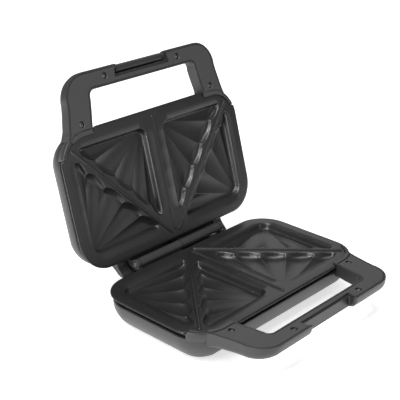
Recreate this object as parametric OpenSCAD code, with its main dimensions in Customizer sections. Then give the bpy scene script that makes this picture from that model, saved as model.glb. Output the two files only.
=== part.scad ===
// Two-slice sandwich toaster: a lower half and a lid that are mirror images
// about the parting plane, joined by a rear hinge and held by a front latch.
// Millimetres. X is the width, -Y is the handle side, +Z is up.
// Origin: on the table, under the centre of the lower cooking face.

/* [Size] */
// Width of the flat cooking face
plate_w = 230; // [222:1:236]
// Depth of the flat cooking face
plate_d = 124; // [118:1:128]
// Corner radius of the cooking face in plan
corner_r = 27.5; // [26:0.5:30]
// Height of the lower cooking face above the table
face_h = 37; // [37:0.5:40]
// Gap between the two cooking faces when shut
face_gap = 2.4; // [2.2:0.1:3]

/* [Lid] */
// Opening angle of the lid as drawn, resting on its stop
lid_open = 106; // [95:1:106]
// Distance of the hinge axis behind the plate centre
hinge_y = 74; // [73.5:0.25:75]
// Radius of the hinge barrels
barrel_r = 5; // [4.6:0.1:5.2]
// Radius of the hinge pins
hinge_pin_r = 2; // [1.8:0.1:2.2]

/* [Pockets] */
// Depth of the sandwich pockets in the middle of a flute
pocket_depth = 6; // [5:0.5:10]
// Thickness of the cast plate
plate_t = 2.8; // [2.4:0.2:3]
// How far each flute crease stands up, as a share of the depth
crease = 0.3; // [0.1:0.05:0.4]

/* [Handles] */
// Thickness of each handle half
handle_t = 14; // [13:0.5:15]
// How far the handle face stands above the cooking face
handle_up = 1; // [0.8:0.1:1]
// Distance of the handle's outer edge from the plate centre
handle_y = 117.3; // [115:0.5:119]
// Width of the latch notch
notch_w = 67; // [64:1:72]
// Radius of the latch barrel
latch_r = 4; // [3.6:0.1:4.1]
// Swing of the latch from shut to laid back
latch_swing = 210; // [190:1:211]

/* [Casing] */
// Wall thickness of the casings
wall = 2.4; // [2:0.1:2.6]
// Width of the rear housing
housing_w = 112; // [104:1:112]

/* [Hidden] */

charcoal = [0.17, 0.17, 0.175];
dark = [0.11, 0.11, 0.115];
coated = [0.2, 0.2, 0.2];
steel = [0.7, 0.7, 0.72];

hw = plate_w/2;
hd = plate_d/2;
R = corner_r;
half_gap = face_gap/2;
arm_r = 24.3;                       // outer corner radius of the handle
arm_cx = 73.5;
arm_cy = -(handle_y - arm_r);
hole_y = -99.4;                     // front edge of the finger hole
notch_y = -107.6;                    // back wall of the latch notch
latch_y = -111.8;
latch_z = 6;                        // latch axis above the lid's cooking face
screw_xy = [[-87.2, -71], [87.2, -71], [-48.6, -108.8], [48.6, -108.8]];
boss_xy = [[-60, -38.5], [60, -38.5], [-60, 38.5], [60, 38.5]];

// ---- placing: everything is drawn in a half's own frame, with z = 0 on its
// cooking face and the half's body below it. The origin of the whole lies on
// the table under the middle of the open machine.
row_y = -18.41;                     // from the middle of the open machine to that of the lower plate
module in_base() translate([0, row_y, face_h]) children();
module swing() translate([0, row_y + hinge_y, face_h + half_gap]) rotate([-lid_open, 0, 0])
    translate([0, -hinge_y, -face_h - half_gap]) children();
module in_lid() swing() translate([0, 0, face_h + face_gap]) mirror([0, 0, 1]) children();

module rounded(x, y, r, z0, z1) {
    translate([-x + r, -y, z0]) cube([2*(x - r), 2*y, z1 - z0]);
    translate([-x, -y + r, z0]) cube([2*x, 2*(y - r), z1 - z0]);
    for (sx = [-1, 1], sy = [-1, 1])
        translate([sx*(x - r), sy*(y - r), z0]) cylinder(r = r, h = z1 - z0, $fn = 48);
}

// ring of constant cross-section around the plate; the profile's x is the
// outset from the face outline and its y is the height
module ring() {
    for (q = [0:3])
        translate([(q == 0 || q == 3 ? 1 : -1)*(hw - R), (q < 2 ? 1 : -1)*(hd - R), 0])
            rotate([0, 0, 90*q]) rotate_extrude(angle = 90, $fn = 64) translate([R, 0]) children();
    for (s = [0, 1]) mirror([s, 0, 0]) translate([hw, 0, 0]) rotate([90, 0, 0])
        linear_extrude(2*(hd - R), center = true) children();
    for (s = [0, 1]) mirror([0, s, 0]) translate([0, hd, 0]) rotate([90, 0, 90])
        linear_extrude(2*(hw - R), center = true) children();
}

// ---- casing of one half
casing_d = 35;
outer_prof = [[0.9, -6.5], [1.6, -7.1], [1.8, -9], [1.4, -14], [-0.2, -19],
              [-3.4, -24.5], [-8, -29.5], [-13.5, -33.4], [-18, -casing_d]];
inner_prof = [[-18, -casing_d + wall], [-14.6, -31.2], [-9.9, -27.8],
              [-5.7, -23.2], [-2.6, -18.2], [-1, -13.6], [-0.6, -9], [-0.7, -6.5]];

module dish() {
    ring() polygon(concat(outer_prof, inner_prof));
    rounded(hw - 18, hd - 18, R - 18, -casing_d, -casing_d + wall);
}

// raised wall that hugs the plate's front corners beside the handle
module shoulders() for (s = [0, 1]) mirror([s, 0, 0]) translate([-(hw - R), -(hd - R), 0]) {
    rotate([0, 0, 199]) rotate_extrude(angle = 40.6, $fn = 96)
        translate([R, 0]) polygon([[-0.9, -6.6], [1, -6.6], [0.5, 0.3], [0.1, 0.7], [-0.6, 0.7], [-0.9, 0.3]]);
    rotate([0, 0, 199]) translate([R, 0, -6.6]) cylinder(r = 0.9, h = 6.9, $fn = 24);
}

housing_top = -14;
housing_back = 84;
foot_xy = [[-81.5, -35.8], [81.5, -35.8], [-81.5, 35.8], [81.5, 35.8]];
rear_foot_xy = [[-42, 73], [42, 73]];

module base_shell() color(charcoal) in_base() difference() {
    union() {
        difference() {
            union() {
                dish();
                for (p = foot_xy) translate([p[0], p[1], -casing_d - 1]) cylinder(r = 12, h = 7, $fn = 64);
                // rear housing for the terminals, carried on its own feet
                translate([-housing_w/2, 50, -casing_d]) cube([housing_w, housing_back - 56, casing_d + housing_top]);
                translate([-housing_w/2 + 6, 60, -casing_d]) cube([housing_w - 12, housing_back - 60, casing_d + housing_top]);
                for (s = [-1, 1]) translate([s*(housing_w/2 - 6), housing_back - 6, -casing_d])
                    cylinder(r = 6, h = casing_d + housing_top, $fn = 48);
                for (p = rear_foot_xy) translate([p[0], p[1], -casing_d - 1]) cylinder(r = 8, h = 2, $fn = 48);
                // stops under the lid's hump
                for (x = [13, 41]) translate([x - 3, 79.3, housing_top - 1]) cube([6, 4.5, 4.8]);
            }
            // hollow of the housing, open into the casing, closed behind by a cover
            translate([-housing_w/2 + wall + 4, 44, -casing_d + wall])
                cube([housing_w - 2*wall - 8, housing_back + 1 - 44, casing_d + housing_top - 2*wall]);
            // vent slots in the floor
            for (i = [-4:4], s = [-1, 1]) translate([i*9 - 1.5, s*20 - 12, -casing_d - 1]) cube([3, 24, wall + 2]);
            // seats of the foot pads
            for (p = foot_xy) translate([p[0], p[1], -casing_d - 2]) cylinder(r = 10.55, h = 1.6, $fn = 64);
            for (p = rear_foot_xy) translate([p[0], p[1], -casing_d - 2]) cylinder(r = 6.55, h = 1.6, $fn = 48);
            for (x = hinge_screw_x) translate([x, 0, -9.4]) rotate([-90, 0, 0]) cylinder(r = 1.3, h = 70, $fn = 32);
        }
        shoulders();
        for (p = boss_xy) translate([p[0], p[1], -casing_d + 1]) cylinder(r = 4.6, h = casing_d - 24.7, $fn = 40);
    }
    // passages of the long screws, with seats for their heads
    for (p = boss_xy) translate([p[0], p[1], 0]) {
        translate([0, 0, -casing_d - 1]) cylinder(r = 1.6, h = 16, $fn = 32);
        translate([0, 0, -casing_d - 1]) cylinder(r = 3.2, h = 2.4, $fn = 40);
    }
}

module lid_shell() color(charcoal) in_lid() difference() {
    union() {
        dish();
        shoulders();
        // hinge ears, one beyond each end of the hinge
        for (s = [0, 1]) mirror([s, 0, 0]) translate([62.6, 0, 0]) rotate([90, 0, 90])
            linear_extrude(12.4) polygon([[61.4, -12.6], [66.6, -9.4], [72, -8.6], [77, -6.4], [82.4, -3.6],
                [84, -5.4], [81, -10.4], [76.6, -13.6], [70.6, -18.6], [61.6, -20.4]]);
        // hump that wraps behind the barrels from ear to ear
        translate([-63, 0, 0]) rotate([90, 0, 90]) linear_extrude(126)
            polygon([[61.2, -12.8], [66.6, -12.3], [71.8, -12.6], [76.6, -9.2], [79.6, -5.8], [82, -4],
                [83.8, -5.6], [80.8, -10.2], [76.3, -13.3], [70.4, -18.4], [61.4, -20.1]]);
    }
    for (x = [-11, 11]) translate([x, -30, -casing_d - 1]) cylinder(r = 4.05, h = 6, $fn = 40);
    for (x = hinge_screw_x) translate([x, 0, -9.4]) rotate([-90, 0, 0]) cylinder(r = 1.3, h = 70, $fn = 32);
}

// ---- handle
function arc(cx, cy, r, a0, a1, n) = [for (i = [0:n]) [cx + r*cos(a0 + (a1 - a0)*i/n), cy + r*sin(a0 + (a1 - a0)*i/n)]];
// Half of the handle's outline, from the arm's root round the front to the
// middle of the notch and back along the finger hole. The third value is the
// share of the outer rounding that this stretch of edge takes.
nw = notch_w/2;
root_o = 2.1;
root = arc(hw - R, -(hd - R), R + root_o, -60, -90, 4);
outer_side = concat([[104, -62.3, 0.25], [102.6, -70, 0.4], [100.6, -80, 0.45]],
    [for (i = [0:9]) let(a = 8 - 98*i/9) [arm_cx + 1.2 + arm_r*cos(a), arm_cy + arm_r*sin(a), 0.5 + 0.5*i/9]],
    [[nw + 6, -handle_y, 1]]);
inner_side = concat([[64.7, hole_y, 0.25]],
    [for (i = [1:6]) let(a = -90 + 98*i/6) [64.7 + 6*cos(a), hole_y + 6 + 6*sin(a), 0.25]],
    [[72.6, -81, 0.25], [75.5, -(hd + root_o), 0.1]]);
root_side = [for (i = [4:-1:0]) [root[i][0], root[i][1], 0]];
flip = function(l) [for (i = [len(l) - 1:-1:0]) [-l[i][0], l[i][1], l[i][2]]];
half = concat(inner_side, root_side, outer_side);
loop = concat(outer_side, flip(outer_side), flip(concat(inner_side, root_side)), inner_side, root_side);
nl = len(loop);
// the same loop for the cover: its root runs on over the casing to the plate
root_c = arc(hw - R, -(hd - R), R - 0.8, -60, -90, 4);
outer_c = [for (p = outer_side) p];
inner_c = [for (i = [0:len(inner_side) - 2]) inner_side[i]];
root_in = concat([[76.2, -(hd - 0.8), 0]], [for (i = [4:-1:0]) [root_c[i][0], root_c[i][1], 0]]);
// levels: [height, share of the outer rounding]
levels = [[handle_up - handle_t, 1], [handle_up - handle_t + 0.7, 0.8], [-10.6, 0.56],
          [-8, 0.33], [-5, 0.14], [-2, 0.03], [handle_up, 0]];
round_in = 11;
function nrm(l, i) = let(n = len(l), a = l[(i + n - 1) % n], b = l[(i + 1) % n], dx = b[0] - a[0], dy = b[1] - a[1],
    q = sqrt(dx*dx + dy*dy)) [-dy/q, dx/q];
function inset(l, d) = [for (i = [0:len(l) - 1]) let(p = l[i], q = nrm(l, i)) [p[0] - q[0]*d, p[1] - q[1]*d]];

// the latch notch, grown all round by g
module notch_prism(g, z0, z1) translate([0, 0, z0]) linear_extrude(z1 - z0)
    polygon([[nw + 0.9 + g, notch_y + g], [nw - 1.4 + g, -140], [-(nw - 1.4 + g), -140], [-(nw + 0.9 + g), notch_y + g]]);
module notch_cut() {
    t = [[nw + 0.9, notch_y], [nw - 1.5, -140], [1.5 - nw, -140], [-nw - 0.9, notch_y]];
    polyhedron(points = concat([for (q = t) [q[0], q[1], handle_up + 3]], [for (q = t) [q[0]*1.09, q[1], -handle_t - 1]]),
        faces = [[0, 1, 2, 3], [7, 6, 5, 4], [4, 5, 1, 0], [5, 6, 2, 1], [6, 7, 3, 2], [7, 4, 0, 3]]);
}

// the flat top or bottom, as a strip between the loop's outer and inner runs
function cap(o, under) = [for (k = [0:nl/2 - 2]) let(a = o + k, b = o + k + 1, c = o + nl - 2 - k, d = o + nl - 1 - k)
    each (under ? [[d, b, a], [d, c, b]] : [[a, b, d], [b, c, d]])];

module handle_body() {
    n = len(levels);
    pts = [for (lv = levels) for (i = [0:nl - 1]) let(p = loop[i], q = nrm(loop, i), d = p[2]*round_in*lv[1])
        [p[0] - q[0]*d, p[1] - q[1]*d, lv[0]]];
    sides = [for (k = [0:n - 2]) for (i = [0:nl - 1]) each
        [[k*nl + i, k*nl + (i + 1) % nl, (k + 1)*nl + (i + 1) % nl], [k*nl + i, (k + 1)*nl + (i + 1) % nl, (k + 1)*nl + i]]];
    difference() {
        polyhedron(points = pts, faces = concat(sides, cap(0, true), cap((n - 1)*nl, false)), convexity = 8);
        notch_cut();
        // seat of the cover
        difference() {
            translate([0, 0, handle_up - 2.2]) linear_extrude(4) polygon(cover_loop(1.3));
            notch_prism(1.3, -8, 8);
        }
        for (p = screw_xy) translate([p[0], p[1], handle_up - 8.6]) cylinder(r = 1.55, h = 8, $fn = 32);
    }
}
// the cover's outline, a given distance inside the handle's edge
function cover_loop(d) = let(side = inset(loop, d), no = len(outer_side), ni = len(inner_side))
    let(o = [for (i = [0:no - 1]) side[i]], k = nl - (ni + len(root_side)), s = [for (i = [0:ni - 2]) side[k + i]],
        h = concat(s, [for (p = root_in) [p[0] - (d - 1.3)*(p == root_in[0] ? -1 : 0), p[1]]], o))
    concat(o, [for (i = [no - 1:-1:0]) [-o[i][0], o[i][1]]],
        [for (i = [len(root_in) - 1:-1:0]) [-root_in[i][0], root_in[i][1]]],
        [for (i = [ni - 2:-1:0]) [-s[i][0], s[i][1]]], s, [for (p = root_in) [p[0], p[1]]]);

module handle_cover() difference() {
    translate([0, 0, handle_up - 2.15]) linear_extrude(2.15) polygon(cover_loop(1.6));
    notch_prism(1.6, -8, 8);
    for (p = screw_xy) translate([p[0], p[1], handle_up - 3]) {
        cylinder(r = 1.7, h = 4, $fn = 32);
        translate([0, 0, 1.85]) cylinder(r = 3.2, h = 2, $fn = 40);
    }
}

// screws stand head up; x, y is the axis and z the underside of the head
module screw(x, y, z, len, rh = 2.9, rs = 1.5, hh = 1.2) translate([x, y, z]) difference() {
    union() {
        translate([0, 0, -len]) cylinder(r = rs, h = len + 0.2, $fn = 32);
        cylinder(r = rh, h = hh, $fn = 40);
    }
    for (a = [0, 90]) rotate([0, 0, a]) translate([-1.6, -0.35, hh - 0.6]) cube([3.2, 0.7, 1]);
}
module handle_screws() for (p = screw_xy) screw(p[0], p[1], handle_up - 1.1, 7.4, hh = 0.9);

module base_handle() color(charcoal) in_base() handle_body();
module lid_handle() color(charcoal) in_lid() difference() {
    handle_body();
    translate([0, latch_y, -latch_z]) rotate([0, 90, 0]) cylinder(r = 1.55, h = notch_w + 9.4, center = true, $fn = 32);
}
module base_handle_cover() color(charcoal) in_base() handle_cover();
module lid_handle_cover() color(charcoal) in_lid() handle_cover();
module base_handle_screws() color(dark) in_base() handle_screws();
module lid_handle_screws() color(dark) in_lid() handle_screws();

// ---- cooking plate: a cast sheet whose face holds four fluted pockets
// A pocket's outline is one right-angled corner, two straight legs and a
// scalloped long side. p runs 0 to 1 along the long side.
creases_a = [0, 0.21, 0.427, 0.65, 0.856, 1];
creases_b = [0, 0.181, 0.411, 0.621, 0.834, 1];
per = 6;
rings = 5;
draft = 3.4;                        // plan width of a pocket's sloping wall
function across(c, i) = let(k = floor(i/per), t = i/per - k) k >= 5 ? 1 : c[k] + (c[k + 1] - c[k])*t;
function hump(i) = let(t = i/per - floor(i/per), f = 2*t - 1) f*f;
// one pocket in its own quadrant: [corner x, y], [leg x, leg y] signed, creases
module pocket(c, leg, cr, r) {
    m = 5*per;
    sx = sign(leg[0]); sy = sign(leg[1]);
    ll = sqrt(leg[0]*leg[0] + leg[1]*leg[1]);
    nx = sx*abs(leg[1])/ll; ny = sy*abs(leg[0])/ll;
    // top edge of the long side
    top = [for (i = [0:m]) let(p = across(cr, i), e = 6.2*(1 - sqrt(1 - 0.96*hump(i))))
        [c[0] + leg[0]*(1 - p) - nx*(i == 0 || i == m ? 0 : e), c[1] + leg[1]*p - ny*(i == 0 || i == m ? 0 : e)]];
    a = [c[0] + sx*draft*1.1, c[1] + sy*draft*1.1];
    // foot of the sloping wall, kept clear of the two legs' own walls
    foot = [for (i = [0:m]) let(g = i == 0 ? 1 : i == m ? m - 1 : i, q = [top[g][0] - a[0], top[g][1] - a[1]], l = norm(q),
        e = i == 0 || i == m ? draft - 0.8 : draft, f = [a[0] + q[0]*(1 - e/l), a[1] + q[1]*(1 - e/l)])
        [c[0] + sx*max(sx*(f[0] - c[0]), draft*1.1 + (i == m ? 0 : 0.5)), c[1] + sy*max(sy*(f[1] - c[1]), draft*1.1 + (i == 0 ? 0 : 0.5))]];
    leg_b = [for (k = [rings - 1:-1:1]) [c[0], c[1] + (top[m][1] - c[1])*(0.12 + 0.88*k/rings)]];
    corner = [for (k = [0:4]) let(g = 90*k/4) [c[0] + sx*r*(1 - cos(g)), c[1] + sy*r*(1 - sin(g))]];
    leg_a = [for (k = [1:rings - 1]) [c[0] + (top[0][0] - c[0])*(0.12 + 0.88*k/rings), c[1]]];
    outline = concat(top, leg_b, corner, leg_a);
    n = len(outline);
    foot_b = [for (k = [rings - 1:-1:1]) [a[0], a[1] + (foot[m][1] - a[1])*k/rings]];
    foot_a = [for (k = [1:rings - 1]) [a[0] + (foot[0][0] - a[0])*k/rings, a[1]]];
    function zf(i, k) = -pocket_depth*(1 - crease*hump(i)*k/rings);
    mid = [for (i = [0:n - 1]) let(f = i <= m ? foot[i] : i <= m + rings - 1 ? foot_b[i - m - 1] :
        i <= m + rings + 4 ? a : foot_a[i - m - rings - 5]) [outline[i][0]*0.84 + f[0]*0.16, outline[i][1]*0.84 + f[1]*0.16]];
    pts = concat([for (q = outline) [q[0], q[1], 1]], [for (q = outline) [q[0], q[1], 0]],
        [for (q = mid) [q[0], q[1], -1]],
        [for (k = [1:rings]) for (i = [0:m]) [a[0] + (foot[i][0] - a[0])*k/rings, a[1] + (foot[i][1] - a[1])*k/rings, zf(i, k)]],
        [[a[0], a[1], 1], [a[0], a[1], -pocket_depth]]);
    o = 3*n;
    last = len(pts) - 1;
    function fl(k, i) = k == 0 ? last : o + (k - 1)*(m + 1) + i;
    // where each outline vertex meets the floor
    function base_of(i) = let(j = (i + n) % n) j <= m ? fl(rings, j) : j <= m + rings - 1 ? fl(rings - (j - m), m) :
        j <= m + rings + 4 ? last : fl(j - m - rings - 4, 0);
    sides = [for (l = [0, 1]) for (i = [0:n - 1]) let(j = (i + 1) % n) each
        [[l*n + i, l*n + j, (l + 1)*n + j], [l*n + i, (l + 1)*n + j, (l + 1)*n + i]]];
    walls = [for (i = [0:n - 1]) let(j = (i + 1) % n, bi = base_of(i), bj = base_of(j)) each
        concat([[2*n + i, 2*n + j, bj]], bi == bj ? [] : [[2*n + i, bj, bi]])];
    floor_in = [for (i = [0:m - 1]) [last, fl(1, i), fl(1, i + 1)]];
    floor_out = [for (k = [1:rings - 1]) for (i = [0:m - 1]) each
        [[fl(k, i), fl(k + 1, i), fl(k + 1, i + 1)], [fl(k, i), fl(k + 1, i + 1), fl(k, i + 1)]]];
    all = concat(sides, walls, floor_in, floor_out,
        [for (i = [0:n - 1]) [last - 1, (i + 1) % n, i]]);
    polyhedron(points = pts, faces = sx*sy < 0 ? [for (f = all) [for (i = [len(f) - 1:-1:0]) f[i]]] : all, convexity = 8);
}
// the outside of a pocket, under the plate
module pocket_back(c, leg) {
    sx = sign(leg[0]); sy = sign(leg[1]);
    t = plate_t;
    function tri(g, z) = [[c[0] - sx*g, c[1] - sy*g, z], [c[0] + leg[0] + sx*g*2.4, c[1] - sy*g, z], [c[0] - sx*g, c[1] + leg[1] + sy*g*2.4, z]];
    pts = concat(tri(t, -0.5), tri(t - 3.6, -pocket_depth - t));
    f = [[0, 1, 2], [3, 5, 4], [0, 3, 4], [0, 4, 1], [1, 4, 5], [1, 5, 2], [2, 5, 3], [2, 3, 0]];
    polyhedron(points = pts, faces = sx*sy > 0 ? [for (q = f) [q[2], q[1], q[0]]] : f);
}
corner_a = [hw - 10, hd - 11.5];
leg_a0 = [-90.4, -95.3];
corner_b = [11, -(hd - 10.7)];
leg_b0 = [90.2, 95.1];
bead = [[-1.5, 0], [1.2, 0], [2.8, -0.43], [3.97, -1.6], [4.4, -3.2], [3.97, -4.8], [2.8, -5.97], [1.2, -6.4], [-1.5, -6.4]];
module plate() difference() {
    union() {
        rounded(hw, hd, R, -plate_t, 0);
        ring() polygon(bead);
        for (s = [-1, 1]) {
            pocket_back([s*corner_a[0], corner_a[1]], [s*leg_a0[0], leg_a0[1]]);
            pocket_back([s*corner_b[0], corner_b[1]], [s*leg_b0[0], leg_b0[1]]);
        }
        for (p = boss_xy) translate([p[0], p[1], -22.9]) cylinder(r = 4, h = 22.9 - pocket_depth - plate_t/2, $fn = 40);
    }
    for (s = [-1, 1]) {
        pocket([s*corner_a[0], corner_a[1]], [s*leg_a0[0], leg_a0[1]], creases_a, 9);
        pocket([s*corner_b[0], corner_b[1]], [s*leg_b0[0], leg_b0[1]], creases_b, 7);
    }
    // the edge is plain where the handle and its shoulders hug it
    for (s = [0, 1]) mirror([s, 0, 0]) translate([0, 0, -8]) linear_extrude(12)
        polygon(concat(arc(-(hw - R), -(hd - R), R - 1.4, 197, 270, 14), [[-75, -hd + 1.4], [-75, -75], [-123, -75], [-123, -44.5]]));
    for (p = boss_xy) translate([p[0], p[1], -23.5]) cylinder(r = 1.55, h = 9, $fn = 32);
}
module base_plate() color(coated) in_base() plate();
module lid_plate() color(coated) in_lid() plate();

// ---- what heats a plate: a tubular element under the pockets, its clips,
// and a reflector sheet below it
el_r = 3.25;
el_z = -pocket_depth - plate_t - el_r - 0.1;
el_x = 78;
el_y = 29.5;
el_b = 14;
module element() {
    for (s = [-1, 1]) {
        translate([s*el_x, 0, el_z]) rotate([90, 0, 0]) cylinder(r = el_r, h = 2*(el_y - el_b), center = true, $fn = 32);
        translate([s*(el_x - el_b), -(el_y - el_b), el_z]) rotate([0, 0, s > 0 ? -90 : 180])
            rotate_extrude(angle = 90, $fn = 64) translate([el_b, 0]) circle(r = el_r, $fn = 32);
        translate([s*(el_x - el_b), el_y - el_b, el_z]) rotate([0, 0, s > 0 ? 0 : 90])
            rotate_extrude(angle = 90, $fn = 64) translate([el_b, 0]) circle(r = el_r, $fn = 32);
        // cold ends, each with a terminal tab
        translate([s*(el_x - el_b), el_y, el_z]) rotate([0, -s*90, 0]) cylinder(r = el_r, h = el_x - el_b - 18, $fn = 32);
        translate([s*18 - 3.2, el_y - 0.4, el_z - 1.6]) translate([s < 0 ? 0 : -6, 0, 0]) cube([12.4, 0.8, 3.2]);
    }
    translate([0, -el_y, el_z]) rotate([0, 90, 0]) cylinder(r = el_r, h = 2*(el_x - el_b), center = true, $fn = 32);
}
clip_xy = [[0, -el_y, 0], [-el_x, 0, 90], [el_x, 0, 90]];
module clips() for (c = clip_xy) translate([c[0], c[1], el_z]) rotate([0, 0, c[2]]) difference() {
    translate([-5, -el_r - 1.1, -el_r - 0.9]) cube([10, 2*el_r + 2.2, 2*el_r + 0.9]);
    translate([-6, 0, 0]) rotate([0, 90, 0]) cylinder(r = el_r + 0.05, h = 12, $fn = 32);
    translate([-6, -el_r - 0.05, 0]) cube([12, 2*el_r + 0.1, el_r + 2]);
}
module shield() difference() {
    rounded(hw - 12, hd - 12, R - 12, -23.6, -23);
    for (p = boss_xy) translate([p[0], p[1], -25]) cylinder(r = 1.7, h = 5, $fn = 32);
    for (s = [-1, 1]) translate([s*12 - 5, 38, -25]) cube([10, 10, 5]);
}
module base_heater() color(steel) in_base() element();
module lid_heater() color(steel) in_lid() element();
module base_heater_clips() color(steel) in_base() clips();
module lid_heater_clips() color(steel) in_lid() clips();
module base_heat_shield() color(steel) in_base() shield();
module lid_heat_shield() color(steel) in_lid() shield();
// short screws hold the lid's shield to the bosses of its plate
module lid_shield_screws() color(steel) in_lid()
    for (p = boss_xy) mirror([0, 0, 1]) translate([p[0], p[1], 0]) screw(0, 0, 23.65, 7, hh = 1);
// long screws run up through the casing and the shield into the plate's bosses
module base_bottom_screws() color(dark) in_base()
    for (p = boss_xy) mirror([0, 0, 1]) translate([p[0], p[1], 0]) screw(0, 0, 33.65, 17.5, hh = 1.2);

// ---- hinge
module barrel(x0, x1, bore_from, bore_to) difference() {
    union() {
        translate([x0, hinge_y, half_gap]) rotate([0, 90, 0]) cylinder(r = barrel_r, h = x1 - x0, $fn = 48);
        translate([x0, 0, 0]) rotate([90, 0, 90]) linear_extrude(x1 - x0)
            polygon([[67, -7.2], [70.4, -2.1], [hinge_y, half_gap], [77.5, -2.3], [75.6, -7.4], [71, -11.4], [67, -11.4]]);
    }
    translate([bore_from, hinge_y, half_gap]) rotate([0, 90, 0]) cylinder(r = hinge_pin_r + 0.05, h = bore_to - bore_from, $fn = 32);
}
// side is -1 for the bracket with the long barrel on the left
module bracket(side) {
    union() {
        if (side < 0) { barrel(-57, -0.4, -58, 1); barrel(57.9, 61.6, 57, 63); }
        else { barrel(0.4, 57, -1, 58); barrel(-61.6, -57.9, -63, -57); }
        difference() {
            translate([-61.6, 63.9, -11.4]) cube([123.2, 3.5, 4.2]);
            for (x = hinge_screw_x) translate([x, 70, -9.4]) rotate([90, 0, 0]) cylinder(r = 1.25, h = 8, $fn = 32);
        }
    }
}
hinge_screw_x = [-30, 30];
module base_hinge_bracket() color(charcoal) in_base() bracket(-1);
module lid_hinge_bracket() color(charcoal) in_lid() bracket(1);
// screws from inside the casing into the bracket
module bracket_screws() for (x = hinge_screw_x) translate([x, 0, -9.4]) rotate([90, 0, 0]) {
    translate([0, 0, -66.8]) cylinder(r = 1.2, h = 6.6, $fn = 32);
    translate([0, 0, -61.2]) cylinder(r = 2.2, h = 1.2, $fn = 32);
}
module base_hinge_screws() color(steel) in_base() bracket_screws();
module lid_hinge_screws() color(steel) in_lid() bracket_screws();
module hinge_pins() color(steel) translate([0, row_y + hinge_y, face_h + half_gap]) rotate([0, 90, 0]) {
    translate([0, 0, -62.3]) cylinder(r = hinge_pin_r, h = 22, $fn = 32);
    translate([0, 0, -14]) cylinder(r = hinge_pin_r, h = 28, $fn = 32);
    translate([0, 0, 40.3]) cylinder(r = hinge_pin_r, h = 22, $fn = 32);
}

// ---- electrical pieces
module thermostat() color([0.8, 0.78, 0.7]) in_base() translate([0, 0, -22.9]) difference() {
    union() {
        cylinder(r = 9, h = 13, $fn = 48);
        translate([-16, -3.5, 0]) cube([32, 7, 0.9]);
    }
    for (s = [-1, 1]) translate([s*13.2, 0, -1]) cylinder(r = 1.6, h = 3, $fn = 24);
}
module thermal_fuse() color([0.85, 0.83, 0.8]) in_base() translate([34, 22, -20.6]) rotate([0, 90, 0]) {
    cylinder(r = 2, h = 14, $fn = 32);
    translate([0, 0, -8]) cylinder(r = 0.6, h = 30, $fn = 16);
}
module terminal_block() color([0.9, 0.9, 0.86]) in_base() translate([8, 66, -casing_d + wall + 0.05]) difference() {
    cube([32, 10, 9]);
    for (i = [0:2]) translate([6 + 10*i, -1, 4.5]) rotate([-90, 0, 0]) cylinder(r = 1.8, h = 12, $fn = 24);
    for (i = [0:2]) translate([6 + 10*i, 5, 5]) cylinder(r = 1.5, h = 5, $fn = 24);
}
module cord_gland() color(dark) in_base() translate([-28, housing_back - 7, -24.5]) rotate([-90, 0, 0]) difference() {
    union() {
        cylinder(r = 6, h = 12, $fn = 48);
        cylinder(r = 7.4, h = 4.5, $fn = 48);
        translate([0, 0, 7.1]) cylinder(r1 = 7.4, r2 = 6.8, h = 2, $fn = 48);
    }
    translate([0, 0, -1]) cylinder(r = 3.4, h = 20, $fn = 40);
}
module base_rear_cover() color(charcoal) in_base() difference() {
    translate([-housing_w/2 + wall + 4.15, housing_back - wall, -casing_d + wall + 0.15])
        cube([housing_w - 2*wall - 8.3, wall, casing_d + housing_top - 2*wall - 0.3]);
    translate([-28, housing_back - 10, -24.5]) rotate([-90, 0, 0]) cylinder(r = 6.15, h = 20, $fn = 48);
}
module lead(a, b, r = 1.1) let(d = b - a, l = norm(d))
    translate(a) rotate([0, acos(d[2]/l), atan2(d[1], d[0])]) cylinder(r = r, h = l, $fn = 64);
module base_leads() color([0.75, 0.2, 0.15]) in_base() {
    lead([14, 65.5, -27.6], [4, 30, -27.6]);
    lead([24, 65.5, -27.6], [44, 32, -27.6]);
    lead([34, 65.5, -27.6], [50, 36, -27.6]);
}

// ---- feet
module foot_pads() color(dark) translate([0, row_y, 0]) {
    for (p = foot_xy) translate([p[0], p[1], 0]) cylinder(r = 10.5, h = face_h - casing_d - 0.45, $fn = 64);
    for (p = rear_foot_xy) translate([p[0], p[1], 0]) cylinder(r = 6.5, h = face_h - casing_d - 0.45, $fn = 48);
}

// ---- lamps in the lid
module lens(x) translate([x, -30, -casing_d - 0.9]) {
    cylinder(r = 4, h = 3.8, $fn = 40);
    translate([0, 0, 3.4]) cylinder(r = 5.2, h = 1, $fn = 40);
}
module power_lamp_lens() color([0.8, 0.1, 0.08]) in_lid() lens(-11);
module ready_lamp_lens() color([0.1, 0.6, 0.2]) in_lid() lens(11);
module lamp_holder() color([0.85, 0.85, 0.8]) in_lid() translate([0, -30, -30.4]) difference() {
    translate([-19, -6.5, 0]) cube([38, 13, 5]);
    for (x = [-11, 11]) translate([x, 0, -1]) cylinder(r = 3, h = 5, $fn = 32);
}

// ---- latch
module latch_frame() in_lid() translate([0, latch_y, -latch_z]) children();
module latch_pin() color(steel) latch_frame() rotate([0, 90, 0]) cylinder(r = 1.5, h = notch_w + 9, center = true, $fn = 32);
// the clip is drawn shut, hanging past the lower handle, then swung back
module latch_clip() color(charcoal) latch_frame() rotate([latch_swing, 0, 0]) difference() {
    union() {
        rotate([0, 90, 0]) cylinder(r = latch_r, h = notch_w - 5, center = true, $fn = 48);
        translate([-notch_w/2 + 2.5, 1.6, 0]) cube([notch_w - 5, latch_r - 1.6, 22.4]);
        translate([-notch_w/2 + 2.5, 0, 0]) rotate([90, 0, 90]) linear_extrude(notch_w - 5)
            polygon([[1.6, 21.2], [1.6, 24.2], [3, 24.8], [7.2, 24.2], [7.2, 23], [4, 21.6]]);
    }
    rotate([0, 90, 0]) cylinder(r = 1.56, h = notch_w + 10, center = true, $fn = 32);
}

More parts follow.
